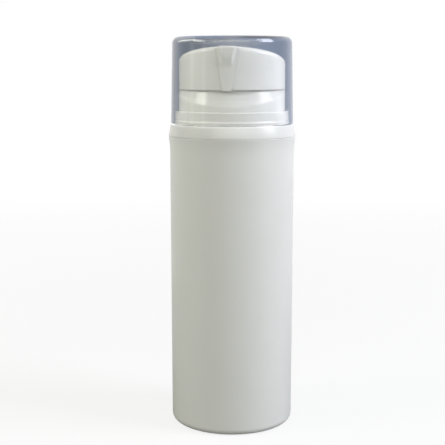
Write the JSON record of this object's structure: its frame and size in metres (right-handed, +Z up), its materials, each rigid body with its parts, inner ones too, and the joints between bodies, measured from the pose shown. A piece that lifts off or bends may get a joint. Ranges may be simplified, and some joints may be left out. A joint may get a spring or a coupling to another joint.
{
  "type": "airless pump bottle",
  "caption": "White airless pump bottle with a wide sloped pressing head under a clear round overcap; a follower rises in the bore as it empties.",
  "frame": {"origin": "centre of the foot ring, on the plane that the bottle stands on", "axes": "+Z up along the bottle's axis, through collar, stem and overcap; the spout faces -Y"},
  "size_m": [0.05, 0.05, 0.1535],
  "materials": {
    "white_pp": "injection-moulded white polypropylene, polished mould, semi-gloss",
    "head_pp": "injection-moulded white polypropylene, fine satin-gloss",
    "natural_pp": "natural translucent polypropylene, as moulded",
    "natural_ldpe": "natural low-density polyethylene, waxy",
    "seal_rubber": "light grey thermoplastic elastomer",
    "valve_silicone": "pale silicone, slightly warm",
    "steel": "drawn stainless wire and polished ball",
    "clear_san": "clear styrene acrylonitrile, polished mould"
  },
  "bodies": {
    "bottle": {"bottle": "white_pp", "collar": "white_pp", "pump_seal": "seal_rubber", "pump_housing": "natural_pp", "retaining_ring": "white_pp", "return_spring": "steel"},
    "plunger": {"stem": "natural_pp", "piston_rod": "natural_pp"},
    "head": {"head_shell": "head_pp", "actuator_core": "white_pp", "nozzle_tip": "head_pp"},
    "pump_piston": {"pump_piston": "natural_ldpe"},
    "outlet_valve": {"outlet_valve": "valve_silicone"},
    "inlet_ball": {"inlet_ball": "steel"},
    "follower": {"follower_piston": "natural_ldpe"},
    "overcap": {"overcap": "clear_san"}
  },
  "joints": [
    {"name": "pump_press", "type": "slide", "parent": "bottle", "child": "plunger", "axis": [0, 0, -1], "range_m": [0, 0.005], "stiffness_N_per_m": 1300, "springref_m": -0.005, "deforming": ["return_spring"]},
    {"name": "head_turn", "type": "hinge", "parent": "plunger", "child": "head", "pos_m": [0, 0, 0.135], "axis": [0, 0, 1], "continuous": true},
    {"name": "piston_slip", "type": "slide", "parent": "plunger", "child": "pump_piston", "axis": [0, 0, 1], "range_m": [0, 0.0008]},
    {"name": "outlet_open", "type": "slide", "parent": "head", "child": "outlet_valve", "axis": [0, 1, 0], "range_m": [0, 0.0005], "stiffness_N_per_m": 60, "springref_m": -0.0005},
    {"name": "inlet_lift", "type": "slide", "parent": "bottle", "child": "inlet_ball", "axis": [0, 0, 1], "range_m": [0, 0.0008]},
    {"name": "follower_rise", "type": "slide", "parent": "bottle", "child": "follower", "axis": [0, 0, 1], "range_m": [0, 0.098]},
    {"name": "overcap_lift", "type": "slide", "parent": "bottle", "child": "overcap", "axis": [0, 0, 1], "range_m": [0, 0.04]}
  ]
}
